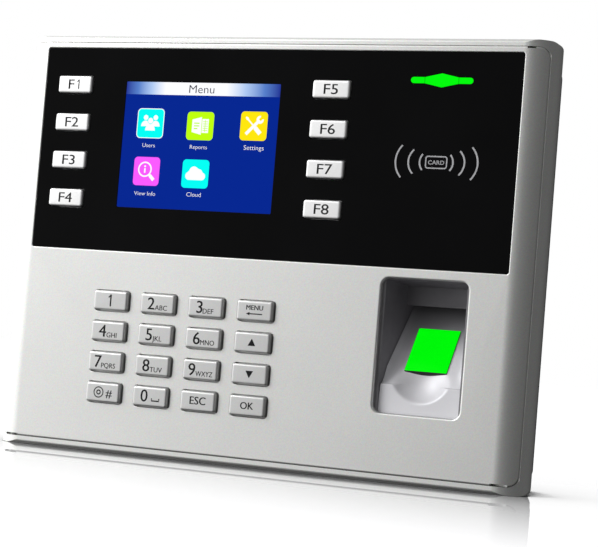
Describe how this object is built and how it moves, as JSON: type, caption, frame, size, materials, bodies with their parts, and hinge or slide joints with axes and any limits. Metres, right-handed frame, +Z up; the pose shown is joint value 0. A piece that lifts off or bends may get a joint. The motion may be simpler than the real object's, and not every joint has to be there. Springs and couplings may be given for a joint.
{
  "type": "fingerprint scanner terminal",
  "caption": "Wall-mounted access terminal with a fingerprint reader in a recess, keypad, function keys, card area and colour display.",
  "frame": {"origin": "middle of the footprint, on the surface that the terminal stands on", "axes": "+X to the right as seen from the front, -Y out of the front face towards the user, +Y towards the wall, +Z up"},
  "size_m": [0.215, 0.045, 0.16],
  "materials": {
    "silver_shell": "fine metallic silver paint on moulded plastic, satin",
    "black_shell": "spark-eroded moulded black plastic",
    "pocket_grey": "dark grey moulded plastic, fine texture",
    "panel_black": "polished black acrylic",
    "screen_glass": "display glass with a deep blue menu page",
    "sensor_glass": "optical glass, lit green",
    "status_green": "clear light guide, lit green",
    "key_silver": "silver-coated key with dark printed legend",
    "silicone": "translucent silicone rubber",
    "circuit_board": "green solder mask",
    "terminal_green": "moulded green plastic",
    "ribbon_film": "amber polyimide film",
    "zinc_steel": "zinc-plated pressed steel",
    "screw_steel": "zinc-plated screw"
  },
  "bodies": {
    "terminal": {"front_cover": "silver_shell", "main_housing": "silver_shell", "rear_cover": "black_shell", "cable_tray": "black_shell", "wall_bracket": "zinc_steel", "lock_screw": "screw_steel", "display_panel": "panel_black", "lcd_frame": "zinc_steel", "lcd_screen": "screen_glass", "keypad_mat": "silicone", "function_mats": "silicone", "keypad_board": "circuit_board", "function_boards": "circuit_board", "finger_pocket": "pocket_grey", "finger_rest": "silver_shell", "sensor_module": "black_shell", "sensor_glass": "sensor_glass", "sensor_retainer": "zinc_steel", "rfid_antenna": "circuit_board", "status_lens": "status_green", "status_board": "circuit_board", "main_board": "circuit_board", "network_socket": "zinc_steel", "usb_socket": "zinc_steel", "power_jack": "black_shell", "terminal_block": "terminal_green", "speaker": "black_shell", "clock_cell": "zinc_steel", "cell_holder": "black_shell", "lcd_ribbon": "ribbon_film", "keypad_ribbon": "ribbon_film", "sensor_ribbon": "ribbon_film", "rear_screws": "screw_steel", "cover_screws": "screw_steel", "board_screws": "screw_steel", "sensor_screws": "screw_steel"},
    "key_1": {"key_1": "key_silver"},
    "key_2": {"key_2": "key_silver"},
    "key_3": {"key_3": "key_silver"},
    "key_menu": {"key_menu": "key_silver"},
    "key_4": {"key_4": "key_silver"},
    "key_5": {"key_5": "key_silver"},
    "key_6": {"key_6": "key_silver"},
    "key_up": {"key_up": "key_silver"},
    "key_7": {"key_7": "key_silver"},
    "key_8": {"key_8": "key_silver"},
    "key_9": {"key_9": "key_silver"},
    "key_down": {"key_down": "key_silver"},
    "key_hash": {"key_hash": "key_silver"},
    "key_0": {"key_0": "key_silver"},
    "key_esc": {"key_esc": "key_silver"},
    "key_ok": {"key_ok": "key_silver"},
    "f1_key": {"f1_key": "key_silver"},
    "f2_key": {"f2_key": "key_silver"},
    "f3_key": {"f3_key": "key_silver"},
    "f4_key": {"f4_key": "key_silver"},
    "f5_key": {"f5_key": "key_silver"},
    "f6_key": {"f6_key": "key_silver"},
    "f7_key": {"f7_key": "key_silver"},
    "f8_key": {"f8_key": "key_silver"}
  },
  "joints": [
    {"name": "key_1_press", "type": "slide", "parent": "terminal", "child": "key_1", "axis": [0, 1, 0], "range_m": [0, 0.001], "stiffness_N_per_m": 1500, "deforming": ["keypad_mat"]},
    {"name": "key_2_press", "type": "slide", "parent": "terminal", "child": "key_2", "axis": [0, 1, 0], "range_m": [0, 0.001], "stiffness_N_per_m": 1500, "deforming": ["keypad_mat"]},
    {"name": "key_3_press", "type": "slide", "parent": "terminal", "child": "key_3", "axis": [0, 1, 0], "range_m": [0, 0.001], "stiffness_N_per_m": 1500, "deforming": ["keypad_mat"]},
    {"name": "key_menu_press", "type": "slide", "parent": "terminal", "child": "key_menu", "axis": [0, 1, 0], "range_m": [0, 0.001], "stiffness_N_per_m": 1500, "deforming": ["keypad_mat"]},
    {"name": "key_4_press", "type": "slide", "parent": "terminal", "child": "key_4", "axis": [0, 1, 0], "range_m": [0, 0.001], "stiffness_N_per_m": 1500, "deforming": ["keypad_mat"]},
    {"name": "key_5_press", "type": "slide", "parent": "terminal", "child": "key_5", "axis": [0, 1, 0], "range_m": [0, 0.001], "stiffness_N_per_m": 1500, "deforming": ["keypad_mat"]},
    {"name": "key_6_press", "type": "slide", "parent": "terminal", "child": "key_6", "axis": [0, 1, 0], "range_m": [0, 0.001], "stiffness_N_per_m": 1500, "deforming": ["keypad_mat"]},
    {"name": "key_up_press", "type": "slide", "parent": "terminal", "child": "key_up", "axis": [0, 1, 0], "range_m": [0, 0.001], "stiffness_N_per_m": 1500, "deforming": ["keypad_mat"]},
    {"name": "key_7_press", "type": "slide", "parent": "terminal", "child": "key_7", "axis": [0, 1, 0], "range_m": [0, 0.001], "stiffness_N_per_m": 1500, "deforming": ["keypad_mat"]},
    {"name": "key_8_press", "type": "slide", "parent": "terminal", "child": "key_8", "axis": [0, 1, 0], "range_m": [0, 0.001], "stiffness_N_per_m": 1500, "deforming": ["keypad_mat"]},
    {"name": "key_9_press", "type": "slide", "parent": "terminal", "child": "key_9", "axis": [0, 1, 0], "range_m": [0, 0.001], "stiffness_N_per_m": 1500, "deforming": ["keypad_mat"]},
    {"name": "key_down_press", "type": "slide", "parent": "terminal", "child": "key_down", "axis": [0, 1, 0], "range_m": [0, 0.001], "stiffness_N_per_m": 1500, "deforming": ["keypad_mat"]},
    {"name": "key_hash_press", "type": "slide", "parent": "terminal", "child": "key_hash", "axis": [0, 1, 0], "range_m": [0, 0.001], "stiffness_N_per_m": 1500, "deforming": ["keypad_mat"]},
    {"name": "key_0_press", "type": "slide", "parent": "terminal", "child": "key_0", "axis": [0, 1, 0], "range_m": [0, 0.001], "stiffness_N_per_m": 1500, "deforming": ["keypad_mat"]},
    {"name": "key_esc_press", "type": "slide", "parent": "terminal", "child": "key_esc", "axis": [0, 1, 0], "range_m": [0, 0.001], "stiffness_N_per_m": 1500, "deforming": ["keypad_mat"]},
    {"name": "key_ok_press", "type": "slide", "parent": "terminal", "child": "key_ok", "axis": [0, 1, 0], "range_m": [0, 0.001], "stiffness_N_per_m": 1500, "deforming": ["keypad_mat"]},
    {"name": "f1_key_press", "type": "slide", "parent": "terminal", "child": "f1_key", "axis": [0, 1, 0], "range_m": [0, 0.001], "stiffness_N_per_m": 1500, "deforming": ["function_mats"]},
    {"name": "f2_key_press", "type": "slide", "parent": "terminal", "child": "f2_key", "axis": [0, 1, 0], "range_m": [0, 0.001], "stiffness_N_per_m": 1500, "deforming": ["function_mats"]},
    {"name": "f3_key_press", "type": "slide", "parent": "terminal", "child": "f3_key", "axis": [0, 1, 0], "range_m": [0, 0.001], "stiffness_N_per_m": 1500, "deforming": ["function_mats"]},
    {"name": "f4_key_press", "type": "slide", "parent": "terminal", "child": "f4_key", "axis": [0, 1, 0], "range_m": [0, 0.001], "stiffness_N_per_m": 1500, "deforming": ["function_mats"]},
    {"name": "f5_key_press", "type": "slide", "parent": "terminal", "child": "f5_key", "axis": [0, 1, 0], "range_m": [0, 0.001], "stiffness_N_per_m": 1500, "deforming": ["function_mats"]},
    {"name": "f6_key_press", "type": "slide", "parent": "terminal", "child": "f6_key", "axis": [0, 1, 0], "range_m": [0, 0.001], "stiffness_N_per_m": 1500, "deforming": ["function_mats"]},
    {"name": "f7_key_press", "type": "slide", "parent": "terminal", "child": "f7_key", "axis": [0, 1, 0], "range_m": [0, 0.001], "stiffness_N_per_m": 1500, "deforming": ["function_mats"]},
    {"name": "f8_key_press", "type": "slide", "parent": "terminal", "child": "f8_key", "axis": [0, 1, 0], "range_m": [0, 0.001], "stiffness_N_per_m": 1500, "deforming": ["function_mats"]}
  ]
}
